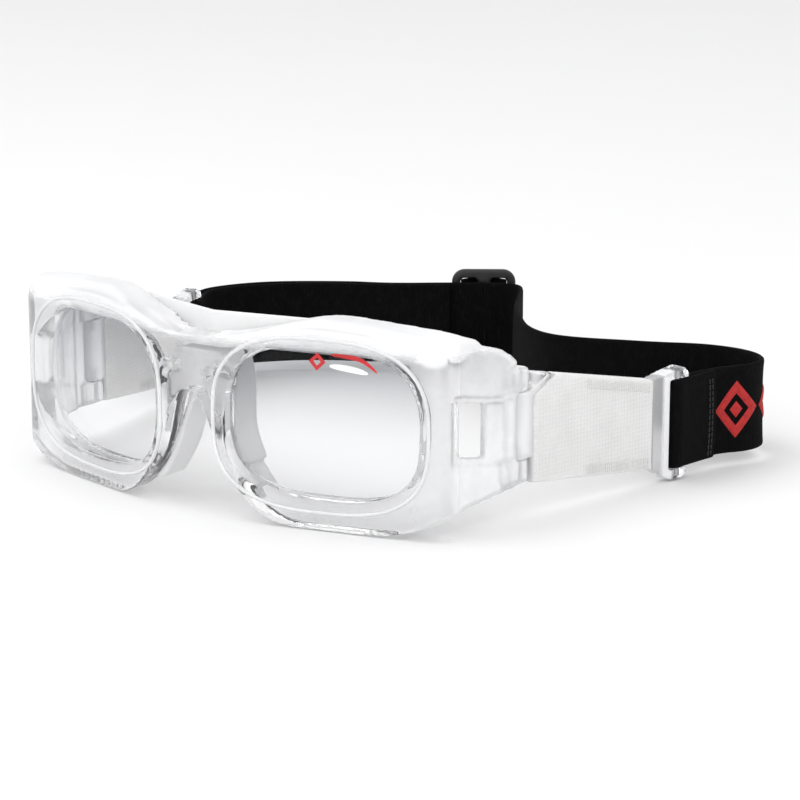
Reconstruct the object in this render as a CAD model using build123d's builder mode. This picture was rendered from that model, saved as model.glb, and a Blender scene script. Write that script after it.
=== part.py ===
"""Sports protective goggles: clear moulded front, hinged arms with strap loops, elastic strap.

Millimetres, +Z up. The goggles lie on their lower rims. The wearer's left is +X, the front faces -Y.
Everything is drawn about the nose line (x = 0, y = 0) and moved back by ORIGIN_Y when it is written.
"""
import os
from math import atan2, cos, pi, radians, sin, tan

from build123d import *

# Lens openings
LENS_HALF_WIDTH = 27.25
LENS_HALF_HEIGHT = 20.0
LENS_CENTRE_X = 37.9
LENS_CENTRE_Z = 27.7
WRAP_ANGLE = 14.0
OUTLINE_POWER = 2.8
OUTLINE_POINTS = 24
LENS_LIP = 1.2
LENS_THICKNESS = 2.0
LENS_RADIUS = 150.0
LENS_DEPTH = 1.2
SEAT_CLEARANCE = 0.05

# Front frame
RIM_FRONT = 1.5
RIM_DEPTH = 8.0
NOSE_FRONT_Y = -8.6
NOSE_FLAT = 12.0
CORNER_START = (66.7, 5.65)
CORNER_MIDDLE = (71.3, 8.7)
CORNER_END = (72.7, 12.3)
WALL_END = (75.8, 34.0)
WALL_THICKNESS = 3.0
INNER_CORNER_X = 65.0
FRAME_TOP = 60.0
BEVEL = 0.9
REACH = 100.0

# Outline of the left half seen from the front, as x and height
FRONT_TOP = [(0, 48.2), (10, 48.6), (20, 50.2), (28, 52.0), (36, 52.9), (46, 52.6), (58, 52.0), (66, 51.8),
             (80, 51.8)]
FRONT_LOW = [(80, 7.2), (72, 7.0), (66, 3.2), (58, 0.7), (50, 0)]
FRONT_NOTCH = [(30, 0), (21, 3), (15, 8.5), (11.5, 14), (8.8, 20), (6.3, 26), (3.6, 31.4), (0, 33.2)]

# Outline seen from the side, as y and height
FRONT_SIDE = [(-12, -1), (13, -1), (14.5, 7.6), (38, 10.4), (38, 40.6), (35, 42.8), (32, 45.2), (28, 47.6),
              (20, 50.1), (12, 52.4), (5, 60), (-12, 60), (-12, -1)]

# Slope that brings the upper outer corner down towards the front face
CORNER_SLOPE_POINT = (68.5, 6.1, 46.0)
CORNER_SLOPE_BACK = 1.5
CORNER_SLOPE_OUT = 0.45

# Brow shelf, as depth behind the front face and height
BROW_SECTION = [(0.4, 47.0), (0.4, 50.8), (3.5, 53.2), (8.0, 56.0), (13.0, 56.0), (13.0, 49.5), (8.0, 47.0)]
BROW_START = 39.0
BROW_LENGTH = 79.0
BROW_TOP = [(0, 48.2), (10, 48.8), (20, 50.9), (28, 53.2), (36, 54.6), (46, 54.2), (56, 53.4), (66, 52.5),
            (74, 51.6)]
BROW_TOP_END = (1, -0.1)
BROW_FLOOR = 40.0
BROW_BACK_Y = 30.0
BROW_BACK_X = 60.0
BROW_WALL_POINT = (73.8, 20.0)

# Side window
WINDOW_START_Y = 13.4
WINDOW_LENGTH = 9.3
WINDOW_LOW_Z = 21.4
WINDOW_HEIGHT = 14.3
RECESS_START_Y = 10.0
RECESS_LENGTH = 20.5
RECESS_LOW_Z = 20.0
RECESS_HEIGHT = 17.6
RECESS_DEPTH = 0.9
SIDE_FALL = 0.185

# Hinge
HINGE_X = 73.4
HINGE_Y = 37.0
HINGE_RADIUS = 3.0
HINGE_LOW_Z = 10.2
HINGE_TOP_Z = 41.0
LUG_HEIGHT = 6.3
KNUCKLE_GAP = 0.1
PIN_RADIUS = 0.8
PIN_LENGTH = 9.0
PIN_INSET = 0.8
PIN_CLEARANCE = 0.06
PIN_END_GAP = 0.2
KNUCKLE_SWEEP = 0.5
LUG_TRIM = 0.2

# Arms, drawn along the arm from the hinge axis
ARM_FLARE = 12.0
PLATE_START = 3.7
SLEEVE_START = 4.3
SLEEVE_SLANT_END = 12.6
SLEEVE_SLANT_LOW = 33.0
SLEEVE_END = 49.5
POST_START = 53.0
POST_END = 56.2
ARM_TOP_START = 40.2
ARM_TOP_FALL = 0.212
ARM_LOW_START = 9.9
ARM_LOW_FALL = 0.105
ARM_THICKNESS = 4.2
SLEEVE_WALL = 1.1
LOOP_AXIS = 60.0
EAR_RADIUS = 3.6
EAR_THICKNESS = 4.4
LOOP_TOP = 31.6
EAR_HEIGHT = 3.1
EAR_SLOPE = 0.6
BAR_RADIUS = 1.4
BAR_INSET = 1.0

# Strap
STRAP_WIDTH = 25.0
STRAP_THICKNESS = 1.5
STRAP_LOW_Z = 3.3
FOLD_RADIUS = 2.5
TAB_END = 75.0
FOLD_END = 64.0
LAYER_GAP = 0.95

# Slider
SLIDER_CENTRE = (-29.0, 171.2)
SLIDER_ANGLE = 34.6
SLIDER_WIDTH = 20.0
SLIDER_HEIGHT = 32.0
SLIDER_THICKNESS = 2.6
SLIDER_CORNER = 4.0
SLOT_WIDTH = 5.2
SLOT_HEIGHT = 26.6
SLOT_SPACING = 9.4
SLOT_CORNER = 1.0
SLIDER_EDGE = 0.6

# Soft pads
PAD_OVERLAP = 0.4
NOSE_PAD_DEPTH = 9.5
NOSE_PAD_INNER = [(14.8, 5.5), (11.8, 10), (9.5, 14), (7.2, 20), (5.0, 26), (2.8, 30.2), (0, 31.6)]
NOSE_PAD_OUTER = [(0, 43.5), (8.5, 42.0), (10.6, 34), (10.7, 26), (11.5, 20), (14.0, 13.6), (19.6, 5.0)]
BROW_PAD_SECTION = [(13.0, 46.0), (13.0, 53.0), (17.0, 51.5), (17.0, 44.5), (9.0, 44.5), (9.0, 46.0)]
BROW_PAD_LENGTH = 62.0
PLUG_X = 7.0
PLUG_Z = 38.6
PLUG_WIDTH = 3.2
PLUG_LENGTH = 6.0
PLUG_ROOT = 2.0

ORIGIN_Y = 85.1

FRONT_SLOPE = tan(radians(WRAP_ANGLE))
FRONT_AT_NOSE = CORNER_START[1] - (CORNER_START[0] - NOSE_FLAT) * FRONT_SLOPE

# Plan route of the strap from the left loop round to the right loop
BAND_ROUTE = [
    (88.2, 113.6),
    (94.3, 122.5),
    (94.1, 131.0),
    (86.0, 136.5),
    (73.0, 136.8),
    (57.0, 129.0),
    (42.0, 122.0),
    (29.0, 119.5),
    (17.5, 125.0),
    (7.0, 136.5),
    (-4.0, 151.5),
    (-12.0, 167.5),
    (-18.7, 175.2),
    (-36.4, 163.0),
    (-50.0, 152.0),
    (-66.0, 143.5),
    (-79.5, 134.0),
    (-89.5, 121.0),
    (-93.0, 108.0),
]
RETURN_FIRST = 14

LENS_PLANE = Plane(
    origin=(LENS_CENTRE_X, 0, LENS_CENTRE_Z),
    x_dir=(cos(radians(WRAP_ANGLE)), sin(radians(WRAP_ANGLE)), 0),
    z_dir=(sin(radians(WRAP_ANGLE)), -cos(radians(WRAP_ANGLE)), 0),
)
CORNER_SLOPE = Plane(
    origin=CORNER_SLOPE_POINT,
    z_dir=(
        CORNER_SLOPE_OUT + CORNER_SLOPE_BACK * sin(radians(WRAP_ANGLE)),
        -CORNER_SLOPE_BACK * cos(radians(WRAP_ANGLE)),
        1,
    ),
)
ARM_PLANE = Plane(
    origin=(HINGE_X, HINGE_Y, 0),
    x_dir=(sin(radians(ARM_FLARE)), cos(radians(ARM_FLARE)), 0),
    z_dir=(cos(radians(ARM_FLARE)), -sin(radians(ARM_FLARE)), 0),
)
ARM_FLOOR = Plane(
    origin=(HINGE_X, HINGE_Y, STRAP_LOW_Z),
    x_dir=(sin(radians(ARM_FLARE)), cos(radians(ARM_FLARE)), 0),
    z_dir=(0, 0, 1),
)
WALL_ANGLE = atan2(WALL_END[0] - CORNER_END[0], WALL_END[1] - CORNER_END[1])
WALL_PLANE = Plane(
    origin=(CORNER_END[0], CORNER_END[1], 0),
    x_dir=(sin(WALL_ANGLE), cos(WALL_ANGLE), 0),
    z_dir=(cos(WALL_ANGLE), -sin(WALL_ANGLE), 0),
)
SLIDER_PLANE = Plane(
    origin=(SLIDER_CENTRE[0], SLIDER_CENTRE[1], SLIDER_HEIGHT / 2),
    x_dir=(cos(radians(SLIDER_ANGLE)), sin(radians(SLIDER_ANGLE)), 0),
    z_dir=(-sin(radians(SLIDER_ANGLE)), cos(radians(SLIDER_ANGLE)), 0),
)


def lens_outline(grow):
    """Points of the rounded lens opening, grown all round by a distance."""
    points = []
    for step in range(OUTLINE_POINTS):
        angle = 2 * pi * step / OUTLINE_POINTS
        across = abs(cos(angle)) ** (2 / OUTLINE_POWER) * (LENS_HALF_WIDTH + grow)
        along = abs(sin(angle)) ** (2 / OUTLINE_POWER) * (LENS_HALF_HEIGHT + grow)
        points.append((across if cos(angle) > 0 else -across, along if sin(angle) > 0 else -along))
    return points


def arm_point(along, inward):
    """Plan position of a point given along the left arm and inward from its middle plane."""
    flare = radians(ARM_FLARE)
    x = HINGE_X + along * sin(flare) - inward * cos(flare)
    y = HINGE_Y + along * cos(flare) + inward * sin(flare)
    return (x, y)


def arm_top(along):
    """Height of the arm's upper edge."""
    return ARM_TOP_START - ARM_TOP_FALL * along


def arm_low(along):
    """Height of the arm's lower edge."""
    return ARM_LOW_START - ARM_LOW_FALL * along


def bend_radii(route):
    """Largest even bends for a route of straight runs."""
    radii = []
    for before, corner, after in zip(route, route[1:], route[2:]):
        run_in = Vector(*corner) - Vector(*before)
        run_out = Vector(*after) - Vector(*corner)
        turn = radians(run_in.get_angle(run_out))
        radii.append(0.45 * min(run_in.length, run_out.length) / tan(turn / 2))
    return radii


def beside(route, shift):
    """The route moved sideways, to the left of its direction."""
    moved = []
    for index, point in enumerate(route):
        before = Vector(*route[max(index - 1, 0)])
        after = Vector(*route[min(index + 1, len(route) - 1)])
        heading = (after - before).normalized()
        moved.append((point[0] - heading.Y * shift, point[1] + heading.X * shift))
    return moved


def mirrored(part):
    """The right-hand twin of a left-hand piece."""
    return mirror(part, about=Plane.YZ)


def write(part, name):
    """Move a finished piece to the part's origin, label it and write it."""
    placed = Pos(0, -ORIGIN_Y, 0) * part
    placed.label = name
    export_step(placed, f"parts/{name}.step")


def make_lens(grow, clearance):
    """A curved lens; the groove that holds it is the same shape, grown."""
    apex = LENS_PLANE.origin + LENS_PLANE.z_dir * (clearance - LENS_DEPTH)
    centre = apex - LENS_PLANE.z_dir * (LENS_RADIUS + clearance)
    with BuildPart() as lens:
        with BuildSketch(LENS_PLANE.offset(-2 * RIM_DEPTH)):
            with BuildLine():
                Spline(*lens_outline(LENS_LIP + grow), periodic=True)
            make_face()
        extrude(amount=2 * RIM_DEPTH)
        with Locations(centre):
            Sphere(LENS_RADIUS + clearance, mode=Mode.INTERSECT)
            Sphere(LENS_RADIUS - LENS_THICKNESS - clearance, mode=Mode.SUBTRACT)
    return lens.part


def make_front_half():
    """Left half of the clear front: rim, half bridge, brow, side wall and hinge lugs."""
    wall = WALL_PLANE.z_dir * -WALL_THICKNESS
    back = RIM_DEPTH / cos(radians(WRAP_ANGLE))
    with BuildPart() as half:
        with BuildSketch(Plane.XY):
            with BuildLine():
                Polyline(
                    (0, NOSE_FRONT_Y + RIM_DEPTH),
                    (0, NOSE_FRONT_Y),
                    (NOSE_FLAT, FRONT_AT_NOSE),
                    CORNER_START,
                )
                ThreePointArc(CORNER_START, CORNER_MIDDLE, CORNER_END)
                Polyline(
                    CORNER_END,
                    WALL_END,
                    (WALL_END[0] + wall.X, WALL_END[1] + wall.Y),
                    (CORNER_END[0] + wall.X, CORNER_END[1] + wall.Y + 1),
                    (INNER_CORNER_X, FRONT_AT_NOSE + (INNER_CORNER_X - NOSE_FLAT) * FRONT_SLOPE + back),
                    (NOSE_FLAT, FRONT_AT_NOSE + back),
                    (0, NOSE_FRONT_Y + RIM_DEPTH),
                )
            make_face()
        extrude(amount=FRAME_TOP)
        with BuildSketch(Plane.XZ):
            with BuildLine():
                Spline(*FRONT_TOP, tangents=[(1, 0), (1, 0)])
                Line(FRONT_TOP[-1], FRONT_LOW[0])
                Spline(*FRONT_LOW, tangents=[(-1, 0), (-1, 0)])
                Line(FRONT_LOW[-1], FRONT_NOTCH[0])
                Spline(*FRONT_NOTCH, tangents=[(-1, 0), (-1, 0)])
                Line(FRONT_NOTCH[-1], FRONT_TOP[0])
            make_face()
        extrude(amount=REACH, both=True, mode=Mode.INTERSECT)
        with BuildSketch(LENS_PLANE):
            with BuildLine():
                Spline(*lens_outline(0), periodic=True)
            make_face()
        extrude(amount=2 * RIM_DEPTH, both=True, mode=Mode.SUBTRACT)
        for grow, depth in ((2 * BEVEL, RIM_FRONT + BEVEL), (0, RIM_FRONT - BEVEL)):
            with BuildSketch(LENS_PLANE.offset(depth)):
                with BuildLine():
                    Spline(*lens_outline(grow), periodic=True)
                make_face()
        loft(mode=Mode.SUBTRACT)
        with BuildSketch(Plane.YZ):
            with BuildLine():
                Polyline(*FRONT_SIDE)
            make_face()
        extrude(amount=REACH, both=True, mode=Mode.INTERSECT)
    return half.part


def brow_blank(section, length):
    """A brow cross-section run along the left rim, cut off at the nose line."""
    start = LENS_PLANE.origin - LENS_PLANE.x_dir * BROW_START + LENS_PLANE.z_dir * RIM_FRONT
    section_plane = Plane(origin=(start.X, start.Y, 0), x_dir=-LENS_PLANE.z_dir, z_dir=LENS_PLANE.x_dir)
    with BuildPart() as blank:
        with BuildSketch(section_plane):
            with BuildLine():
                Polyline(*section, section[0])
            make_face()
        extrude(amount=length)
        with BuildSketch(Plane.XY):
            with BuildLine():
                Polyline((0, BROW_BACK_Y), (0, NOSE_FRONT_Y), (NOSE_FLAT, FRONT_AT_NOSE), CORNER_START)
                ThreePointArc(CORNER_START, CORNER_MIDDLE, CORNER_END)
                Polyline(CORNER_END, BROW_WALL_POINT, (BROW_BACK_X, BROW_BACK_Y), (0, BROW_BACK_Y))
            make_face()
        extrude(amount=FRAME_TOP, mode=Mode.INTERSECT)
    return blank.part


def make_brow_half():
    """Left half of the brow shelf above the rim, open behind for the brow pad."""
    with BuildPart() as brow:
        add(brow_blank(BROW_SECTION, BROW_LENGTH))
        with BuildSketch(Plane.XZ):
            with BuildLine():
                Spline(*BROW_TOP, tangents=[(1, 0), BROW_TOP_END])
                Polyline(BROW_TOP[-1], (BROW_TOP[-1][0], BROW_FLOOR), (0, BROW_FLOOR), BROW_TOP[0])
            make_face()
        extrude(amount=REACH, both=True, mode=Mode.INTERSECT)
    return brow.part


def make_front_frame():
    """The whole clear front, with lens grooves, windows, plug holes and drilled lugs."""
    seat = make_lens(SEAT_CLEARANCE, SEAT_CLEARANCE)
    with BuildPart() as frame:
        add(make_front_half())
        add(make_brow_half())
        with BuildSketch(CORNER_SLOPE):
            Rectangle(REACH, REACH)
        extrude(amount=FRAME_TOP, mode=Mode.SUBTRACT)
        for low in (HINGE_LOW_Z, HINGE_TOP_Z - LUG_HEIGHT):
            with BuildSketch(Plane.XY.offset(low)):
                with Locations((HINGE_X, HINGE_Y)):
                    Circle(HINGE_RADIUS)
                with Locations((HINGE_X - LUG_TRIM, HINGE_Y - HINGE_RADIUS)):
                    Rectangle(2 * (HINGE_RADIUS - LUG_TRIM), 2 * HINGE_RADIUS)
            extrude(amount=LUG_HEIGHT)
        knuckle_room = HINGE_TOP_Z - HINGE_LOW_Z - 2 * LUG_HEIGHT
        with BuildSketch(Plane.XY.offset(HINGE_LOW_Z + LUG_HEIGHT)):
            with Locations((HINGE_X, HINGE_Y)):
                Circle(HINGE_RADIUS + KNUCKLE_SWEEP)
        extrude(amount=knuckle_room, mode=Mode.SUBTRACT)
        for pin_end in (HINGE_LOW_Z + PIN_INSET, HINGE_TOP_Z - PIN_INSET):
            with Locations((HINGE_X, HINGE_Y, pin_end)):
                Cylinder(PIN_RADIUS, 2 * PIN_LENGTH, mode=Mode.SUBTRACT)
        with BuildSketch(WALL_PLANE):
            with BuildLine():
                recess_x = RECESS_START_Y - CORNER_END[1]
                Polyline(*sloped_box(recess_x, RECESS_LENGTH, RECESS_LOW_Z, RECESS_HEIGHT))
            make_face()
        extrude(amount=RECESS_DEPTH, both=True, mode=Mode.SUBTRACT)
        with BuildSketch(WALL_PLANE):
            with BuildLine():
                window_x = WINDOW_START_Y - CORNER_END[1]
                Polyline(*sloped_box(window_x, WINDOW_LENGTH, WINDOW_LOW_Z, WINDOW_HEIGHT))
            make_face()
        extrude(amount=2 * WALL_THICKNESS, both=True, mode=Mode.SUBTRACT)
        add(seat, mode=Mode.SUBTRACT)
        with Locations((PLUG_X, NOSE_FRONT_Y, PLUG_Z)):
            Box(PLUG_WIDTH, 4 * RIM_DEPTH, PLUG_WIDTH, mode=Mode.SUBTRACT)
        mirror(about=Plane.YZ)
    return frame.part


def sloped_box(start, length, low, height):
    """Closed outline of a window whose top and bottom fall towards the rear like the arm."""
    fall = SIDE_FALL * length
    return [
        (start, low),
        (start + length, low - fall),
        (start + length, low - fall + height),
        (start, low + height),
        (start, low),
    ]


def make_hinge_pin(low):
    """A short hinge pin standing on the hinge axis."""
    with BuildPart() as pin:
        with BuildSketch(Plane.XY.offset(low)):
            with Locations((HINGE_X, HINGE_Y)):
                Circle(PIN_RADIUS)
        extrude(amount=PIN_LENGTH)
    return pin.part


def make_arm_core():
    """Hard clear arm: hinge knuckle, plate inside the sleeve, post and ears of the strap loop."""
    knuckle_low = HINGE_LOW_Z + LUG_HEIGHT + KNUCKLE_GAP
    knuckle_height = HINGE_TOP_Z - HINGE_LOW_Z - 2 * LUG_HEIGHT - 2 * KNUCKLE_GAP
    plate_thickness = ARM_THICKNESS - 2 * SLEEVE_WALL
    with BuildPart() as core:
        with BuildSketch(ARM_PLANE):
            with BuildLine():
                Polyline(
                    (PLATE_START, arm_low(PLATE_START)),
                    (SLEEVE_START, arm_low(SLEEVE_START)),
                    (SLEEVE_START, SLEEVE_SLANT_LOW),
                    (SLEEVE_SLANT_END, arm_top(SLEEVE_SLANT_END)),
                    (PLATE_START, arm_top(PLATE_START)),
                    (PLATE_START, arm_low(PLATE_START)),
                )
            make_face()
        extrude(amount=ARM_THICKNESS / 2, both=True)
        with BuildSketch(ARM_PLANE):
            with BuildLine():
                Polyline(
                    (PLATE_START, arm_low(PLATE_START) + SLEEVE_WALL),
                    (POST_START, arm_low(POST_START) + SLEEVE_WALL),
                    (POST_START, arm_top(POST_START) - SLEEVE_WALL),
                    (PLATE_START, arm_top(PLATE_START) - SLEEVE_WALL),
                    (PLATE_START, arm_low(PLATE_START) + SLEEVE_WALL),
                )
            make_face()
        extrude(amount=plate_thickness / 2, both=True)
        with BuildSketch(ARM_PLANE):
            with BuildLine():
                low_ear = LOOP_AXIS + EAR_RADIUS
                Polyline((low_ear, EAR_HEIGHT), (POST_END, EAR_HEIGHT), (POST_END, LOOP_TOP - EAR_HEIGHT),
                         (low_ear, LOOP_TOP - EAR_HEIGHT))
                TangentArc((low_ear, LOOP_TOP - EAR_HEIGHT), (LOOP_AXIS, LOOP_TOP), tangent=(0, 1))
                Polyline(
                    (LOOP_AXIS, LOOP_TOP),
                    (POST_END, LOOP_TOP - EAR_SLOPE),
                    (SLEEVE_END, arm_top(SLEEVE_END)),
                    (SLEEVE_END, arm_low(SLEEVE_END)),
                    (POST_END, EAR_SLOPE),
                    (LOOP_AXIS, 0),
                )
                TangentArc((LOOP_AXIS, 0), (low_ear, EAR_HEIGHT), tangent=(1, 0))
            make_face()
        extrude(amount=EAR_THICKNESS / 2, both=True)
        with BuildSketch(Plane.XY.offset(knuckle_low)):
            with Locations((HINGE_X, HINGE_Y)):
                Circle(HINGE_RADIUS)
            with BuildLine():
                Polyline(
                    arm_point(0, HINGE_RADIUS),
                    arm_point(PLATE_START, ARM_THICKNESS / 2),
                    arm_point(PLATE_START, -ARM_THICKNESS / 2),
                    arm_point(0, -HINGE_RADIUS),
                    arm_point(0, HINGE_RADIUS),
                )
            make_face()
        extrude(amount=knuckle_height)
        pin_hole = PIN_INSET + PIN_LENGTH + PIN_END_GAP - LUG_HEIGHT
        for end in (knuckle_low, knuckle_low + knuckle_height):
            with Locations((HINGE_X, HINGE_Y, end)):
                Cylinder(PIN_RADIUS + PIN_CLEARANCE, 2 * pin_hole, mode=Mode.SUBTRACT)
        bar_x, bar_y = arm_point(LOOP_AXIS, 0)
        with BuildSketch(Plane.XY.offset(BAR_INSET)):
            with Locations((bar_x, bar_y)):
                Circle(BAR_RADIUS)
        extrude(amount=LOOP_TOP - 2 * BAR_INSET, mode=Mode.SUBTRACT)
    return core.part


def make_arm_sleeve():
    """Soft frosted sleeve over the arm plate."""
    with BuildPart() as sleeve:
        with BuildSketch(ARM_PLANE):
            with BuildLine():
                Polyline(
                    (SLEEVE_START, arm_low(SLEEVE_START)),
                    (SLEEVE_END, arm_low(SLEEVE_END)),
                    (SLEEVE_END, arm_top(SLEEVE_END)),
                    (SLEEVE_SLANT_END, arm_top(SLEEVE_SLANT_END)),
                    (SLEEVE_START, SLEEVE_SLANT_LOW),
                    (SLEEVE_START, arm_low(SLEEVE_START)),
                )
            make_face()
        extrude(amount=ARM_THICKNESS / 2, both=True)
        with BuildSketch(ARM_PLANE):
            with BuildLine():
                Polyline(
                    (PLATE_START, arm_low(PLATE_START) + SLEEVE_WALL),
                    (POST_START, arm_low(POST_START) + SLEEVE_WALL),
                    (POST_START, arm_top(POST_START) - SLEEVE_WALL),
                    (PLATE_START, arm_top(PLATE_START) - SLEEVE_WALL),
                    (PLATE_START, arm_low(PLATE_START) + SLEEVE_WALL),
                )
            make_face()
        extrude(amount=ARM_THICKNESS / 2 - SLEEVE_WALL, both=True, mode=Mode.SUBTRACT)
    return sleeve.part


def make_strap_bar():
    """Steel bar between the ears of the strap loop."""
    bar_x, bar_y = arm_point(LOOP_AXIS, 0)
    with BuildPart() as bar:
        with BuildSketch(Plane.XY.offset(BAR_INSET)):
            with Locations((bar_x, bar_y)):
                Circle(BAR_RADIUS)
        extrude(amount=LOOP_TOP - 2 * BAR_INSET)
    return bar.part


def make_strap_fold(outer_end, inner_end):
    """Strap end folded round the bar, between a point on its outer and one on its inner layer."""
    with BuildPart() as fold:
        with BuildSketch(ARM_FLOOR):
            with BuildLine():
                outside = Line((outer_end, -LAYER_GAP), (LOOP_AXIS, -FOLD_RADIUS))
                ThreePointArc(outside @ 1, (LOOP_AXIS - FOLD_RADIUS, 0), (LOOP_AXIS, FOLD_RADIUS))
                Line((LOOP_AXIS, FOLD_RADIUS), (inner_end, LAYER_GAP))
            trace(line_width=STRAP_THICKNESS)
        extrude(amount=STRAP_WIDTH)
    return fold.part


def make_strap_run(route):
    """A stretch of strap standing on edge along a plan route."""
    with BuildPart() as run:
        with BuildSketch(Plane.XY.offset(STRAP_LOW_Z)):
            with BuildLine():
                FilletPolyline(*route, radius=bend_radii(route))
            trace(line_width=STRAP_THICKNESS)
        extrude(amount=STRAP_WIDTH)
    return run.part


def make_slider():
    """Adjuster with two slots and a middle bar."""
    with BuildPart() as slider:
        with BuildSketch(SLIDER_PLANE):
            RectangleRounded(SLIDER_WIDTH, SLIDER_HEIGHT, SLIDER_CORNER)
            with GridLocations(SLOT_SPACING, 0, 2, 1):
                RectangleRounded(SLOT_WIDTH, SLOT_HEIGHT, SLOT_CORNER, mode=Mode.SUBTRACT)
        extrude(amount=SLIDER_THICKNESS / 2, both=True)
        fillet(slider.edges().filter_by(GeomType.LINE, reverse=True), SLIDER_EDGE)
    return slider.part


def make_nose_pad(frame, lens):
    """Soft saddle behind the bridge and the inner rims, with two plugs through the bridge."""
    front = NOSE_FRONT_Y + RIM_DEPTH - PAD_OVERLAP
    plug_size = PLUG_WIDTH - 2 * SEAT_CLEARANCE
    with BuildPart() as pad:
        with BuildSketch(Plane.XZ.offset(-front)):
            with BuildLine():
                Spline(*NOSE_PAD_INNER, tangents=[(-0.8, 1), (-1, 0)])
                Line(NOSE_PAD_INNER[-1], NOSE_PAD_OUTER[0])
                Spline(*NOSE_PAD_OUTER, tangents=[(1, 0), (0.9, -1)])
                Line(NOSE_PAD_OUTER[-1], NOSE_PAD_INNER[0])
            make_face()
        extrude(amount=-NOSE_PAD_DEPTH)
        add(frame, mode=Mode.SUBTRACT)
        add(lens, mode=Mode.SUBTRACT)
        with Locations((PLUG_X, NOSE_FRONT_Y + RIM_DEPTH, PLUG_Z)):
            Box(plug_size, PLUG_LENGTH, plug_size, align=(Align.CENTER, Align.MAX, Align.CENTER))
            Box(plug_size, PLUG_ROOT, plug_size, align=(Align.CENTER, Align.MIN, Align.CENTER))
        mirror(about=Plane.YZ)
    return pad.part


def make_brow_pad(frame):
    """Soft strip behind the brow shelf."""
    with BuildPart() as pad:
        add(brow_blank(BROW_PAD_SECTION, BROW_PAD_LENGTH))
        add(frame, mode=Mode.SUBTRACT)
        mirror(about=Plane.YZ)
    return pad.part


def main():
    """Build every piece and write it."""
    os.makedirs("parts", exist_ok=True)
    front_frame = make_front_frame()
    left_lens = make_lens(0, 0)
    write(front_frame, "front_frame")
    write(left_lens, "left_lens")
    write(mirrored(left_lens), "right_lens")
    write(make_nose_pad(front_frame, left_lens), "nose_pad")
    write(make_brow_pad(front_frame), "brow_pad")

    pin_lows = {"lower": HINGE_LOW_Z + PIN_INSET, "upper": HINGE_TOP_Z - PIN_INSET - PIN_LENGTH}
    for place, low in pin_lows.items():
        pin = make_hinge_pin(low)
        write(pin, f"left_hinge_{place}_pin")
        write(mirrored(pin), f"right_hinge_{place}_pin")

    arm_pieces = {
        "arm_core": make_arm_core(),
        "arm_sleeve": make_arm_sleeve(),
        "strap_bar": make_strap_bar(),
    }
    for name, piece in arm_pieces.items():
        write(piece, f"left_{name}")
        write(mirrored(piece), f"right_{name}")

    write(make_strap_fold(TAB_END, FOLD_END), "left_strap_fold")
    write(mirrored(make_strap_fold(FOLD_END, FOLD_END)), "right_strap_fold")
    band_start = arm_point(FOLD_END + LAYER_GAP, LAYER_GAP)
    band_end = arm_point(FOLD_END + LAYER_GAP, 0)
    band_route = [band_start, *BAND_ROUTE, (-band_end[0], band_end[1])]
    write(make_strap_run(band_route), "strap_band")
    return_route = beside(band_route, 2 * LAYER_GAP)[RETURN_FIRST:]
    write(make_strap_run(return_route), "strap_return")
    write(make_slider(), "strap_slider")


main()
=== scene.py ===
"""Looks of a pair of sports protective goggles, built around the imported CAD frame.

Metres, +Z up, the wearer's left is +X and the front faces -Y, as in the CAD part.
"""

import logging
import math
from collections.abc import Sequence
from dataclasses import dataclass
from enum import Enum

import bmesh
import bpy
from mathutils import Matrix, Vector, noise

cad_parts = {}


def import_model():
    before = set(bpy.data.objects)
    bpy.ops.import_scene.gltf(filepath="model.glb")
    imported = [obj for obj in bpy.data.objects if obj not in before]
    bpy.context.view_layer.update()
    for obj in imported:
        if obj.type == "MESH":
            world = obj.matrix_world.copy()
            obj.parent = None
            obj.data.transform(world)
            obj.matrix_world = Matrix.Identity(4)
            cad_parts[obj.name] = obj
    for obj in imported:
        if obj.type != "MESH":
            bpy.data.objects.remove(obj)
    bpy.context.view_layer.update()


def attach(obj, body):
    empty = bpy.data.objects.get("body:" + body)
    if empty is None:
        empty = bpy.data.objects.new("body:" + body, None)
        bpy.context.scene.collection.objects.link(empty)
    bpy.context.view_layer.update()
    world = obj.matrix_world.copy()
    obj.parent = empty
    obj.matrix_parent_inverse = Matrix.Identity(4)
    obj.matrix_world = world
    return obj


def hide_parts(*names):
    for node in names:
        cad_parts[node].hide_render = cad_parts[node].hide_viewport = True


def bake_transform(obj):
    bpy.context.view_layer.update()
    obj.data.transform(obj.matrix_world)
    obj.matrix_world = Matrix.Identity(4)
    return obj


LOG = logging.getLogger("goggles")
MM = 0.001
NOSE_TO_ORIGIN = 85.1
Point = tuple[float, float]
Colour = tuple[float, float, float]


class Side(Enum):
    """Which side of the wearer a piece is on; the value is the sign of its x."""

    LEFT = 1
    RIGHT = -1

    @property
    def word(self) -> str:
        """The side's name as it stands in piece names."""
        return self.name.lower()


class Bump(Enum):
    """Surface grain that a finish can carry."""

    RIPPLE = "ripple"
    PEBBLE = "pebble"
    GRID = "grid"


def place(x: float, y: float, z: float) -> Vector:
    """A point in metres from millimetres measured about the nose line.

    Args:
        x: Distance to the wearer's left.
        y: Distance behind the nose line.
        z: Height above the table.

    Returns:
        The point in the part's own frame.
    """
    return Vector((x, y - NOSE_TO_ORIGIN, z)) * MM


def bend_route(corners: Sequence[Point], steps: int) -> list[Point]:
    """Round off the corners of a plan route.

    Args:
        corners: Corners of the route in millimetres.
        steps: Points made for each corner.

    Returns:
        A dense smooth route from the first corner to the last.
    """
    points = [Vector(c) for c in corners]
    dense = [points[0]]
    for index in range(1, len(points) - 1):
        corner = points[index]
        start = points[0] if index == 1 else (points[index - 1] + corner) / 2
        last = index == len(points) - 2
        end = points[-1] if last else (corner + points[index + 1]) / 2
        for step in range(1, steps + 1):
            t = step / steps
            dense.append(start * (1 - t) ** 2 + corner * 2 * t * (1 - t) + end * t * t)
    return [(p.x, p.y) for p in dense]


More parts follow.
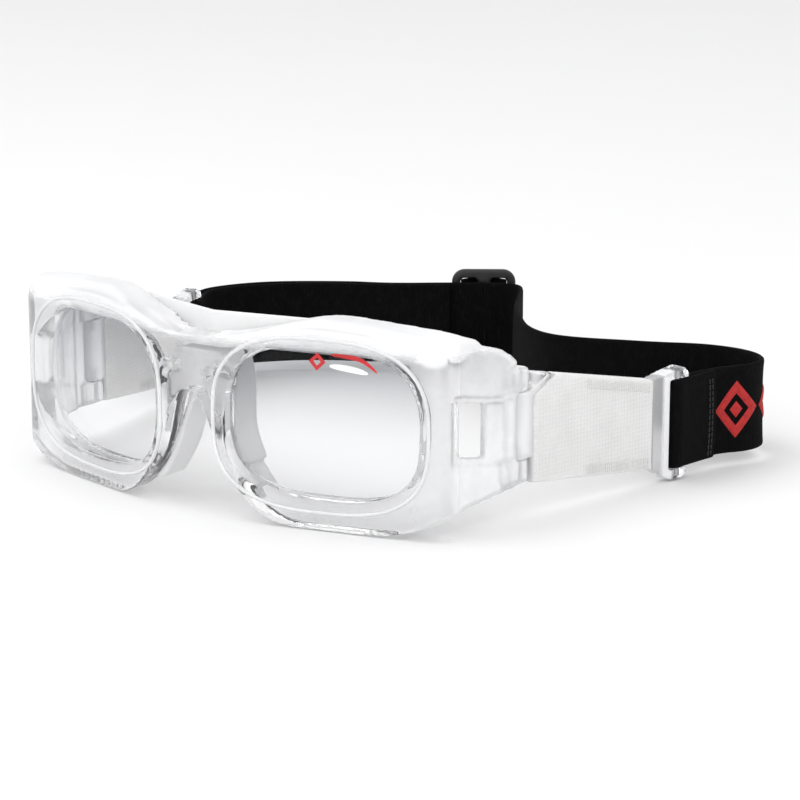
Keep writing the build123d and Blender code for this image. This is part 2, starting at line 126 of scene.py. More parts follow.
def new_piece(name: str, mesh: bmesh.types.BMesh, smooth: bool = True) -> bpy.types.Object:
    """Turn a bmesh into an object of the scene.

    Args:
        name: Name of the piece.
        mesh: The finished bmesh, which is freed.
        smooth: Whether its faces are shaded smooth.

    Returns:
        The linked object.
    """
    bmesh.ops.recalc_face_normals(mesh, faces=mesh.faces)
    for face in mesh.faces:
        face.smooth = smooth
    data = bpy.data.meshes.new(name)
    mesh.to_mesh(data)
    mesh.free()
    piece = bpy.data.objects.new(name, data)
    bpy.context.scene.collection.objects.link(piece)
    return piece


def apply_modifiers(piece: bpy.types.Object) -> None:
    """Bake a piece's modifiers into its mesh.

    Args:
        piece: The object whose modifiers are applied.
    """
    graph = bpy.context.evaluated_depsgraph_get()
    baked = bpy.data.meshes.new_from_object(piece.evaluated_get(graph))
    piece.modifiers.clear()
    old = piece.data
    piece.data = baked
    bpy.data.meshes.remove(old)


def skin(mesh: bmesh.types.BMesh, rows: list[list[bmesh.types.BMVert]], closed: bool = False) -> None:
    """Join rings of equal size with faces.

    Args:
        mesh: The bmesh that the rings belong to.
        rows: The rings, in order.
        closed: Whether the last ring joins the first one.
    """
    pairs = list(zip(rows, rows[1:]))
    if closed:
        pairs.append((rows[-1], rows[0]))
    for first, second in pairs:
        for turn in range(len(first)):
            after = (turn + 1) % len(first)
            mesh.faces.new((first[turn], first[after], second[after], second[turn]))


def cap(mesh: bmesh.types.BMesh, rows: list[list[bmesh.types.BMVert]]) -> None:
    """Close the first and the last ring with a face each."""
    mesh.faces.new(rows[0])
    mesh.faces.new(rows[-1])


def moulded_copy(node: str, name: str, voxel: float, passes: int) -> bpy.types.Object:
    """A softened copy of a CAD node, with the rounded edges of a moulding.

    Args:
        node: CAD node that the piece stands for.
        name: Name of the new piece.
        voxel: Voxel size in metres.
        passes: Smoothing passes over the remeshed surface.

    Returns:
        The new piece.
    """
    source = bpy.data.objects[node]
    piece = bpy.data.objects.new(name, source.data.copy())
    piece.data.materials.clear()
    bpy.context.scene.collection.objects.link(piece)
    remesh = piece.modifiers.new("remesh", "REMESH")
    remesh.mode = "VOXEL"
    remesh.voxel_size = voxel
    remesh.use_smooth_shade = True
    relax = piece.modifiers.new("relax", "SMOOTH")
    relax.factor = 0.5
    relax.iterations = passes
    apply_modifiers(piece)
    for face in piece.data.polygons:
        face.use_smooth = True
    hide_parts(node)
    return piece


class Nodes:
    """A material's node tree, with short calls for adding and joining nodes."""

    def __init__(self, name: str) -> None:
        """Start an empty material.

        Args:
            name: Name of the material.
        """
        self.material = bpy.data.materials.new(name)
        self.material.use_nodes = True
        self.tree = self.material.node_tree
        self.tree.nodes.clear()
        self.out = self.tree.nodes.new("ShaderNodeOutputMaterial")
        self.shader = self.add("ShaderNodeBsdfPrincipled")
        self.join(self.shader.outputs[0], self.out.inputs[0])

    def add(self, kind: str) -> bpy.types.Node:
        """Add a node.

        Args:
            kind: Blender's name of the node type.

        Returns:
            The new node.
        """
        return self.tree.nodes.new(kind)

    def join(self, source: bpy.types.NodeSocket, target: bpy.types.NodeSocket) -> None:
        """Link two sockets."""
        self.tree.links.new(source, target)

    def maths(self, operation: str, *values: object) -> bpy.types.NodeSocket:
        """Add a Math node.

        Args:
            operation: Blender's name of the operation.
            *values: Its inputs, each a number or a socket.

        Returns:
            The result's socket.
        """
        node = self.tree.nodes.new("ShaderNodeMath")
        node.operation = operation
        for socket, value in zip(node.inputs, values):
            if isinstance(value, (int, float)):
                socket.default_value = value
            else:
                self.join(value, socket)
        return node.outputs[0]

    def place(self, axis: int) -> bpy.types.NodeSocket:
        """One coordinate of the surface point in the object's frame.

        Args:
            axis: 0, 1 or 2 for x, y or z.

        Returns:
            The coordinate's socket.
        """
        split = self.add("ShaderNodeSeparateXYZ")
        self.join(self.add("ShaderNodeTexCoord").outputs["Object"], split.inputs[0])
        return split.outputs[axis]

    def ramp(self, source: bpy.types.NodeSocket, low: float, high: float, bottom: float = 0.0,
             top: float = 1.0) -> bpy.types.NodeSocket:
        """A smooth step between two values of a socket.

        Args:
            source: Socket that is read.
            low: Value at which the step starts.
            high: Value at which it ends.
            bottom: Result before the step.
            top: Result after the step.

        Returns:
            The result's socket.
        """
        node = self.add("ShaderNodeMapRange")
        node.interpolation_type = "SMOOTHSTEP"
        self.join(source, node.inputs[0])
        for socket, value in zip(node.inputs[1:5], (low, high, bottom, top)):
            socket.default_value = value
        return node.outputs[0]

    def noise(self, scale: float, detail: float = 3.0, rough: float = 0.55) -> bpy.types.NodeSocket:
        """Noise over the object's own coordinates.

        Args:
            scale: Scale of the noise.
            detail: Octaves.
            rough: How strong the fine octaves are.

        Returns:
            The factor's socket.
        """
        node = self.add("ShaderNodeTexNoise")
        self.join(self.add("ShaderNodeTexCoord").outputs["Object"], node.inputs["Vector"])
        node.inputs["Scale"].default_value = scale
        node.inputs["Detail"].default_value = detail
        node.inputs["Roughness"].default_value = rough
        return node.outputs[0]

    def blend(self, factor: bpy.types.NodeSocket, first: Colour, second: Colour) -> bpy.types.NodeSocket:
        """Mix two colours by a factor.

        Args:
            factor: Socket from 0 to 1.
            first: Colour at 0.
            second: Colour at 1.

        Returns:
            The mixed colour's socket.
        """
        node = self.add("ShaderNodeMix")
        node.data_type = "RGBA"
        self.join(factor, node.inputs[0])
        node.inputs[6].default_value = (*first, 1)
        node.inputs[7].default_value = (*second, 1)
        return node.outputs[2]

    def bump(self, height: bpy.types.NodeSocket, strength: float, depth: float) -> None:
        """Put a height on the shader as bump.

        Args:
            height: Socket with the height.
            strength: Strength of the bump.
            depth: Depth of a height of 1, in metres.
        """
        node = self.add("ShaderNodeBump")
        node.inputs["Strength"].default_value = strength
        node.inputs["Distance"].default_value = depth
        self.join(height, node.inputs["Height"])
        self.join(node.outputs[0], self.shader.inputs["Normal"])

    def lines(self, axis: int, pitch: float = 0.00115) -> bpy.types.NodeSocket:
        """Fine raised lines that step along one axis.

        Args:
            axis: 0, 1 or 2 for x, y or z.
            pitch: Distance between lines in metres.

        Returns:
            Socket of the lines' height.
        """
        wave = self.maths("SINE", self.maths("MULTIPLY", self.place(axis), math.pi / pitch))
        return self.maths("POWER", self.maths("ABSOLUTE", wave), 6.0)

    def grain(self, kind: Bump, depth: float) -> None:
        """Put one of the surface grains on the shader.

        Args:
            kind: Which grain.
            depth: Its depth in metres.
        """
        if kind is Bump.RIPPLE:
            self.bump(self.noise(220.0, 3.0), 0.35, depth)
        elif kind is Bump.PEBBLE:
            self.bump(self.noise(700.0, 4.0), 0.5, depth)
        elif kind is Bump.GRID:
            mesh = self.maths("MAXIMUM", self.lines(1), self.lines(2))
            self.bump(self.maths("ADD", mesh, self.noise(900.0, 2.0)), 0.8, depth)

    def set(self, socket: str, value: object) -> None:
        """Set or feed a socket of the main shader.

        Args:
            socket: Name of the shader's socket.
            value: A number, a colour of three numbers or a socket.
        """
        target = self.shader.inputs[socket]
        if isinstance(value, bpy.types.NodeSocket):
            self.join(value, target)
        else:
            target.default_value = (*value, 1) if isinstance(value, tuple) and len(value) == 3 else value


@dataclass(frozen=True)
class ClearMoulding:
    """Clear polycarbonate that turns milky towards the brow and the temples.

    A zone holds where its milkiness starts and ends, as heights or depths in metres.
    """

    name: str = "clear_moulding"
    tint: Colour = (0.992, 0.993, 0.998)
    milk: Colour = (0.965, 0.968, 0.978)
    clearness: float = 0.97
    cloudiness: float = 0.62
    ior: float = 1.38
    polished: float = 0.045
    frosted: float = 0.34
    ripple: float = 0.00012
    brow_zone: Point = (0.0455, 0.0500)
    temple_zone: Point = (-0.0775, -0.0700)
    temple_milk: float = 0.62

    def mask(self, nodes: Nodes) -> bpy.types.NodeSocket:
        """How milky the front is: fully at the brow, and partly in the temples behind the rims.

        Args:
            nodes: The material's nodes.

        Returns:
            Socket from 0 for clear to 1 for milky.
        """
        brow = nodes.ramp(nodes.place(2), *self.brow_zone)
        temple = nodes.ramp(nodes.place(1), *self.temple_zone, 0.0, self.temple_milk)
        cloud = nodes.ramp(nodes.noise(90.0, 4.0), 0.35, 0.7, 0.86, 1.1)
        zone = nodes.maths("MAXIMUM", brow, temple)
        return nodes.maths("MINIMUM", nodes.maths("MULTIPLY", zone, cloud), 1.0)

    def build(self) -> bpy.types.Material:
        """Make the material."""
        nodes = Nodes(self.name)
        mask = self.mask(nodes)
        nodes.set("IOR", self.ior)
        nodes.set("Base Color", nodes.blend(mask, self.tint, self.milk))
        loss = nodes.maths("MULTIPLY", mask, self.cloudiness)
        nodes.set("Transmission Weight", nodes.maths("SUBTRACT", self.clearness, loss))
        nodes.set("Roughness", nodes.ramp(mask, 0.0, 1.0, self.polished, self.frosted))
        nodes.set("Specular IOR Level", 0.5)
        nodes.grain(Bump.RIPPLE, self.ripple)
        return nodes.material


@dataclass(frozen=True)
class ArmMoulding(ClearMoulding):
    """The same polycarbonate on the arms and beads, milky at the hinge knuckle and the strap post."""

    name: str = "clear_arm"
    polished: float = 0.04
    frosted: float = 0.3
    hinge_zone: Point = (-0.0440, -0.0385)
    hinge_milk: float = 0.8
    post_rise: Point = (0.0025, 0.0045)
    post_fall: Point = (0.0070, 0.0085)
    post_milk: float = 0.9

    def mask(self, nodes: Nodes) -> bpy.types.NodeSocket:
        """How milky an arm is along its length.

        Args:
            nodes: The material's nodes.

        Returns:
            Socket from 0 for clear to 1 for milky.
        """
        hinge = nodes.ramp(nodes.place(1), *self.hinge_zone, self.hinge_milk, 0.0)
        rise = nodes.ramp(nodes.place(1), *self.post_rise)
        fall = nodes.ramp(nodes.place(1), *self.post_fall, self.post_milk, 0.0)
        return nodes.maths("MAXIMUM", hinge, nodes.maths("MULTIPLY", rise, fall))


@dataclass(frozen=True)
class LensFinish:
    """Clear lens that turns grey towards its top as painted shadow of the strap behind it, fading downwards.
    """

    name: str = "lens_clear"
    # Grey of the painted shadow at the top of the lens, in place of the strap's soft shadow seen through it.
    painted_strap_shadow: Colour = (0.60, 0.61, 0.635)
    clear: Colour = (0.985, 0.988, 0.992)
    ior: float = 1.2
    fade_zone: Point = (0.020, 0.052)
    haze: float = 0.02

    def build(self) -> bpy.types.Material:
        """Make the material."""
        nodes = Nodes(self.name)
        # Painted shadow: clear low on the lens, grey towards its top.
        fade = nodes.ramp(nodes.place(2), *self.fade_zone)
        nodes.set("Base Color", nodes.blend(fade, self.clear, self.painted_strap_shadow))
        nodes.set("Transmission Weight", 1.0)
        nodes.set("IOR", self.ior)
        nodes.set("Roughness", nodes.ramp(nodes.noise(120.0), 0.3, 0.8, 0.0, self.haze))
        return nodes.material


@dataclass(frozen=True)
class Silicone:
    """Milky silicone, soft and faintly see-through."""

    name: str
    colour: Colour = (0.985, 0.986, 0.99)
    shade: Colour = (0.955, 0.958, 0.966)
    transmission: float = 0.35
    roughness: float = 0.42
    bump: Bump = Bump.PEBBLE
    depth: float = 0.0001
    ior: float = 1.41
    scatter: float = 0.25
    scatter_depth: float = 0.004

    def build(self) -> bpy.types.Material:
        """Make the material."""
        nodes = Nodes(self.name)
        patches = nodes.ramp(nodes.noise(140.0, 5.0), 0.3, 0.75)
        nodes.set("Base Color", nodes.blend(patches, self.colour, self.shade))
        nodes.set("Transmission Weight", self.transmission)
        nodes.set("IOR", self.ior)
        nodes.set("Roughness", nodes.ramp(patches, 0.0, 1.0, self.roughness, self.roughness + 0.14))
        nodes.set("Subsurface Weight", self.scatter)
        nodes.set("Subsurface Scale", self.scatter_depth)
        nodes.shader.inputs["Subsurface Radius"].default_value = (1.0, 1.0, 1.0)
        nodes.grain(self.bump, self.depth)
        return nodes.material


@dataclass(frozen=True)
class Webbing:
    """Woven black elastic: ribs across the strap and a twill along it, from its own lengthwise map."""

    name: str = "webbing_black"
    thread: Colour = (0.0012, 0.0012, 0.0015)
    lint: Colour = (0.0052, 0.0052, 0.006)
    rib_pitch: float = 0.0011
    yarn_pitch: float = 0.00075

    def build(self) -> bpy.types.Material:
        """Make the material."""
        nodes = Nodes(self.name)
        split = nodes.add("ShaderNodeSeparateXYZ")
        nodes.join(nodes.add("ShaderNodeUVMap").outputs[0], split.inputs[0])
        across = nodes.maths("MULTIPLY", split.outputs[1], 2 * math.pi / self.yarn_pitch)
        along = nodes.maths("MULTIPLY", split.outputs[0], 2 * math.pi / self.rib_pitch)
        rib = nodes.maths("ABSOLUTE", nodes.maths("SINE", along))
        twill = nodes.maths("ADD", across, nodes.maths("MULTIPLY", along, 0.5))
        yarn = nodes.maths("ABSOLUTE", nodes.maths("SINE", twill))
        weave = nodes.maths("ADD", nodes.maths("MULTIPLY", rib, 0.65), nodes.maths("MULTIPLY", yarn, 0.35))
        dust = nodes.ramp(nodes.noise(420.0, 5.0, 0.7), 0.42, 0.78)
        tone = nodes.maths("MULTIPLY", weave, nodes.maths("ADD", dust, 0.25))
        nodes.set("Base Color", nodes.blend(tone, self.thread, self.lint))
        nodes.set("Roughness", nodes.ramp(weave, 0.0, 1.0, 0.95, 0.78))
        nodes.set("Sheen Weight", 0.008)
        nodes.set("Sheen Roughness", 0.6)
        nodes.set("Specular IOR Level", 0.05)
        nodes.bump(nodes.maths("ADD", weave, nodes.maths("MULTIPLY", dust, 0.3)), 0.9, 0.00022)
        return nodes.material


@dataclass(frozen=True)
class Solid:
    """An opaque finish with slight patches and grain: plastic, metal, ink or thread."""

    name: str
    colour: Colour
    worn: Colour
    roughness: float = 0.35
    metallic: float = 0.0
    grain: float = 500.0
    depth: float = 0.00006

    def build(self) -> bpy.types.Material:
        """Make the material."""
        nodes = Nodes(self.name)
        patches = nodes.ramp(nodes.noise(self.grain * 0.4, 4.0), 0.35, 0.75)
        nodes.set("Base Color", nodes.blend(patches, self.colour, self.worn))
        nodes.set("Metallic", self.metallic)
        nodes.set("Roughness", nodes.ramp(patches, 0.0, 1.0, self.roughness, self.roughness + 0.12))
        nodes.bump(nodes.noise(self.grain, 3.0), 0.5, self.depth)
        return nodes.material


class Finishes:
    """Every finish of the goggles, made once."""

    def __init__(self) -> None:
        """Make the materials."""
        self.clear = ClearMoulding().build()
        self.arm = ArmMoulding().build()
        self.lens = LensFinish().build()
        self.pad = Silicone("silicone_milky").build()
        self.grip = Silicone(
            "silicone_frosted", (0.945, 0.94, 0.935), (0.885, 0.88, 0.875), 0.20, 0.34, Bump.GRID, 0.00016
        ).build()
        self.steel = Solid("pin_steel", (0.55, 0.56, 0.58), (0.40, 0.41, 0.43), 0.25, metallic=1.0).build()
        self.webbing = Webbing().build()
        self.buckle = Solid(
            "plastic_black", (0.0035, 0.0035, 0.004), (0.007, 0.007, 0.008), 0.42, grain=900.0
        ).build()
        self.thread = Solid(
            "thread_black", (0.012, 0.012, 0.013), (0.03, 0.03, 0.033), 0.7, grain=2500.0
        ).build()
        self.embroidery = Solid(
            "thread_red", (0.42, 0.004, 0.003), (0.30, 0.002, 0.002), 0.6, grain=2500.0, depth=0.0002
        ).build()
        self.red_ink = Solid("ink_red", (0.66, 0.015, 0.02), (0.5, 0.01, 0.015), 0.3).build()
        self.white_ink = Solid("ink_white", (0.90, 0.90, 0.90), (0.8, 0.8, 0.8), 0.3).build()


def paint(piece: bpy.types.Object, finish: bpy.types.Material) -> None:
    """Give an object one material only."""
    piece.data.materials.clear()
    piece.data.materials.append(finish)


def dress(piece: bpy.types.Object, finish: bpy.types.Material, body: str) -> bpy.types.Object:
    """Give a piece its finish and the body it rides on.

    Args:
        piece: The piece.
        finish: Its material.
        body: CAD body that it moves with.

    Returns:
        The same piece.
    """
    paint(piece, finish)
    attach(piece, body)
    LOG.info("%s rides on %s", piece.name, body)
    return piece


@dataclass
class Front:
    """The moulded front with its lens rings, and the soft pads behind it."""

    finishes: Finishes
    voxel: float = 0.00055
    passes: int = 7
    lens_centre: tuple[float, float, float] = (37.9, 0.0, 27.7)
    half_width: float = 27.25
    half_height: float = 20.0
    wrap: float = math.radians(14.0)
    power: float = 2.8
    lens_lip: float = 1.2
    lens_radius: float = 150.0
    lens_sink: float = 1.2
    lens_thickness: float = 2.0
    ring_out: float = 2.9
    ring_radius: float = 0.55
    ring_front: float = 1.45
    print_gap: float = 0.02
    print_depth: float = 0.08
    tip_share: float = 0.35
    line_width: float = 1.25
    bar_width: float = 1.7
    pad_voxel: float = 0.00045
    pad_fill: float = 0.9
    nose_passes: int = 16
    brow_passes: int = 8
    brow_end: tuple[float, float, float] = (73.2, 18.5, 52.0)
    brow_end_reach: float = 0.0085
    brow_end_passes: int = 45

    def build(self) -> None:
        """Make the front, the lenses, their rings and marks, and the pads."""
        frame = moulded_copy("front_frame", "front_moulding", self.voxel, self.passes)
        self.soften_brow_ends(frame)
        dress(frame, self.finishes.clear, "frame")
        for side in Side:
            dress(self.lens(side), self.finishes.lens, "frame")
            dress(self.ring(side), self.finishes.arm, "frame")
        self.marks()
        nose = self.pad("nose_pad", "nose_saddle", self.nose_passes)
        brow = self.pad("brow_pad", "brow_cushion", self.brow_passes)
        for side in Side:
            for level in ("lower", "upper"):
                paint(bpy.data.objects[f"{side.word}_hinge_{level}_pin"], self.finishes.steel)

    def pad(self, node: str, name: str, passes: int) -> bpy.types.Object:
        """Make one of the soft pads behind the front.

        Args:
            node: Its CAD node.
            name: Name of the piece.
            passes: Smoothing passes over its surface.

        Returns:
            The pad.
        """
        piece = moulded_copy(node, name, self.pad_voxel, passes)
        return dress(piece, self.finishes.pad, "frame")

    def soften_brow_ends(self, frame: bpy.types.Object) -> None:
        """Run each end of the brow out into the side wall, where the CAD solid has a step.

        Args:
            frame: The moulded front.
        """
        centres = [place(side.value * self.brow_end[0], *self.brow_end[1:]) for side in Side]
        group = frame.vertex_groups.new(name="brow_ends")
        for vertex in frame.data.vertices:
            nearest = min((vertex.co - centre).length for centre in centres)
            if nearest < self.brow_end_reach:
                group.add([vertex.index], 1 - nearest / self.brow_end_reach, "REPLACE")
        relax = frame.modifiers.new("brow_ends", "SMOOTH")
        relax.vertex_group = group.name
        relax.factor = 0.8
        relax.iterations = self.brow_end_passes
        apply_modifiers(frame)

    def outline(self, angle: float, grow: float) -> Point:
        """A point of the rounded lens outline.

        Args:
            angle: Angle round the outline in radians.
            grow: Distance outside the opening in millimetres.

        Returns:
            Its place across and up, in millimetres from the lens centre.
        """
        across = math.copysign(abs(math.cos(angle)) ** (2 / self.power), math.cos(angle))
        up = math.copysign(abs(math.sin(angle)) ** (2 / self.power), math.sin(angle))
        return across * (self.half_width + grow), up * (self.half_height + grow)

    def on_lens(self, side: Side, across: float, up: float, out: float) -> Vector:
        """A point given in a lens's own plane.

        Args:
            side: Which lens.
            across: Millimetres outward from the lens centre.
            up: Millimetres above it.
            out: Millimetres in front of the lens plane.

        Returns:
            The point in metres.
        """
        x = self.lens_centre[0] + across * math.cos(self.wrap) + out * math.sin(self.wrap)
        y = across * math.sin(self.wrap) - out * math.cos(self.wrap)
        return place(side.value * x, y, self.lens_centre[2] + up)

    def dome(self, across: float, up: float, radius: float) -> float:
        """How far in front of the lens plane a lens face lies, in millimetres.

        Args:
            across: Place across the lens.
            up: Place up the lens.
            radius: Radius of that face.

        Returns:
            The distance, below zero behind the plane.
        """
        flat = min(across * across + up * up, radius * radius)
        return math.sqrt(radius * radius - flat) - self.lens_radius - self.lens_sink

    def lens(self, side: Side) -> bpy.types.Object:
        """A domed lens with a rounded edge.

        Args:
            side: Which lens.

        Returns:
            The lens.
        """
        mesh = bmesh.new()
        turns, rings = 96, 16
        rows = []
        levels = [(self.lens_radius, step / rings) for step in range(1, rings + 1)]
        levels += [(self.lens_radius - self.lens_thickness, step / rings) for step in range(rings, 0, -1)]
        for radius, share in levels:
            row = []
            for turn in range(turns):
                across, up = self.outline(2 * math.pi * (turn + 0.5) / turns, self.lens_lip)
                across, up = across * share, up * share
                row.append(mesh.verts.new(self.on_lens(side, across, up, self.dome(across, up, radius))))
            rows.append(row)
        skin(mesh, rows)
        cap(mesh, rows)
        piece = new_piece(f"{side.word}_lens_shield", mesh)
        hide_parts(f"{side.word}_lens")
        return piece

    def ring(self, side: Side) -> bpy.types.Object:
        """The raised bead round a lens opening.

        Args:
            side: Which opening.

        Returns:
            The bead.
        """
        path = []
        turns = 120
        mesh = bmesh.new()
        for turn in range(turns):
            across, up = self.outline(2 * math.pi * (turn + 0.5) / turns, self.ring_out)
            path.append(self.on_lens(side, across, up, self.ring_front))
        add_tube(mesh, path, self.ring_radius * MM, 10, closed=True)
        return new_piece(f"{side.word}_lens_bead", mesh)

    def marks(self) -> None:
        """Small plain printed marks on the left lens: a lozenge, a bar and a line."""
        lozenge = [(-4.3, 16.3), (-1.9, 18.6), (0.4, 16.2), (-2.0, 13.9)]
        hole = [(-3.0, 16.3), (-1.95, 17.3), (-0.9, 16.2), (-1.95, 15.2)]
        line = [(1.8, 18.3), (7.5, 18.2), (11.6, 17.1), (14.4, 14.6)]
        bar = [(1.6, 15.4), (7.0, 15.3), (12.0, 14.2)]
        self.print_ring("left_lens_mark_lozenge", lozenge, hole, self.finishes.red_ink)
        self.print_band("left_lens_mark_line", line, self.line_width, self.finishes.red_ink)
        self.print_band("left_lens_mark_bar", bar, self.bar_width, self.finishes.white_ink)

    def on_print(self, across: float, up: float, lift: float, rise: float = 0.0) -> Vector:
        """A point of the ink on the left lens.

        Args:
            across: Millimetres outward from the lens centre.
            up: Millimetres above it.
            lift: Millimetres above the back of the ink.
            rise: Millimetres further up, at the same depth.

        Returns:
            The point in metres.
        """
        out = self.dome(across, up, self.lens_radius) + self.print_gap + lift
        return self.on_lens(Side.LEFT, across, up + rise, out)

    def print_ring(self, name: str, outer: list[Point], inner: list[Point], ink: bpy.types.Material) -> None:
        """Print a closed ring on the left lens.

        Args:
            name: Name of the print.
            outer: Its outer corners.
            inner: Its inner corners.
            ink: Its colour.
        """
        mesh = bmesh.new()
        rows = []
        for edge, lift in ((outer, 0.0), (outer, self.print_depth), (inner, self.print_depth), (inner, 0.0)):
            rows.append([mesh.verts.new(self.on_print(across, up, lift)) for across, up in edge])
        skin(mesh, rows, closed=True)
        dress(new_piece(name, mesh, False), ink, "frame")

    def print_band(self, name: str, route: list[Point], width: float, ink: bpy.types.Material) -> None:
        """Print a slim band with tapered ends on the left lens.

        Args:
            name: Name of the print.
            route: Places that its middle follows.
            width: Its width in millimetres.
            ink: Its colour.
        """
        dense = bend_route(route, 8)
        mesh = bmesh.new()
        rows = []
        for index, (across, up) in enumerate(dense):
            share = index / (len(dense) - 1)
            half = width / 2 * (self.tip_share + (1 - self.tip_share) * math.sin(math.pi * share) ** 0.5)
            corners = ((half, 0.0), (half, self.print_depth), (-half, self.print_depth), (-half, 0.0))
            rows.append([mesh.verts.new(self.on_print(across, up, out, rise)) for rise, out in corners])
        skin(mesh, rows)
        cap(mesh, rows)
        dress(new_piece(name, mesh, False), ink, "frame")


def add_tube(mesh: bmesh.types.BMesh, path: list[Vector], radius: float, sides: int,
             closed: bool = False) -> None:
    """Add a tube to a bmesh.

    Args:
        mesh: The bmesh.
        path: Points of its middle line, in metres.
        radius: Its radius in metres.
        sides: Points round the tube.
        closed: Whether the path closes on itself.
    """
    count = len(path)
    rows = []
    for index, point in enumerate(path):
        before = path[index - 1] if closed or index else path[0]
        after = path[(index + 1) % count] if closed or index < count - 1 else path[-1]
        heading = (after - before).normalized()
        guide = Vector((0.31, -0.93, 0.17)).normalized()
        side = heading.cross(guide).normalized()
        top = side.cross(heading).normalized()
        row = []
        for turn in range(sides):
            angle = 2 * math.pi * turn / sides
            row.append(mesh.verts.new(point + (side * math.cos(angle) + top * math.sin(angle)) * radius))
        rows.append(row)
    skin(mesh, rows, closed)
    if not closed:
        cap(mesh, rows)


@dataclass
class Arm:
    """One arm: hard clear core with the strap loop, frosted grip with ribs, and the bar."""

    side: Side
    finishes: Finishes
    hinge: Point = (73.4, 37.0)
    flare: float = math.radians(12.0)
    top_start: float = 40.2
    top_fall: float = 0.212
    low_start: float = 9.9
    low_fall: float = 0.105
    face: float = 2.1
    rib_first: float = 24.0
    rib_last: float = 48.6
    rib_pitch: float = 0.82
    rib_height: float = 2.6
    rib_inset: float = 0.9
    rib_radius: float = 0.00021
    core_voxel: float = 0.00042
    grip_voxel: float = 0.00040
    passes: int = 4

    @property
    def body(self) -> str:
        """The CAD body of this arm."""
        return f"{self.side.word}_arm"

    def point(self, along: float, outward: float, height: float) -> Vector:
        """A point given along the arm, outward from its middle plane and by height.

        Args:
            along: Millimetres from the hinge axis.
            outward: Millimetres away from the head.
            height: Millimetres above the table.

        Returns:
            The point in metres.
        """
        x = self.hinge[0] + along * math.sin(self.flare) + outward * math.cos(self.flare)
        y = self.hinge[1] + along * math.cos(self.flare) - outward * math.sin(self.flare)
        return place(self.side.value * x, y, height)

    def build(self) -> None:
        """Make the arm's pieces."""
        word = self.side.word
        core = moulded_copy(f"{word}_arm_core", f"{word}_arm_body", self.core_voxel, self.passes)
        dress(core, self.finishes.arm, self.body)
        grip = moulded_copy(f"{word}_arm_sleeve", f"{word}_arm_grip", self.grip_voxel, self.passes)
        dress(grip, self.finishes.grip, self.body)
        dress(self.ribs(), self.finishes.grip, self.body)
        paint(bpy.data.objects[f"{word}_strap_bar"], self.finishes.steel)

    def ribs(self) -> bpy.types.Object:
        """Fine upright ribs along the upper and lower edges of the grip.

        Returns:
            The ribs as one piece.
        """
        mesh = bmesh.new()
        along = self.rib_first
        while along < self.rib_last:
            top = self.top_start - self.top_fall * along - self.rib_inset
            low = self.low_start - self.low_fall * along + self.rib_inset
            for start, end in ((low, low + self.rib_height), (top - self.rib_height, top)):
                for outward in (self.face, -self.face):
                    steps = [start + (end - start) * k / 6 for k in range(7)]
                    add_tube(mesh, [self.point(along, outward, z) for z in steps], self.rib_radius, 6)
            along += self.rib_pitch
        return new_piece(f"{self.side.word}_grip_ribs", mesh)


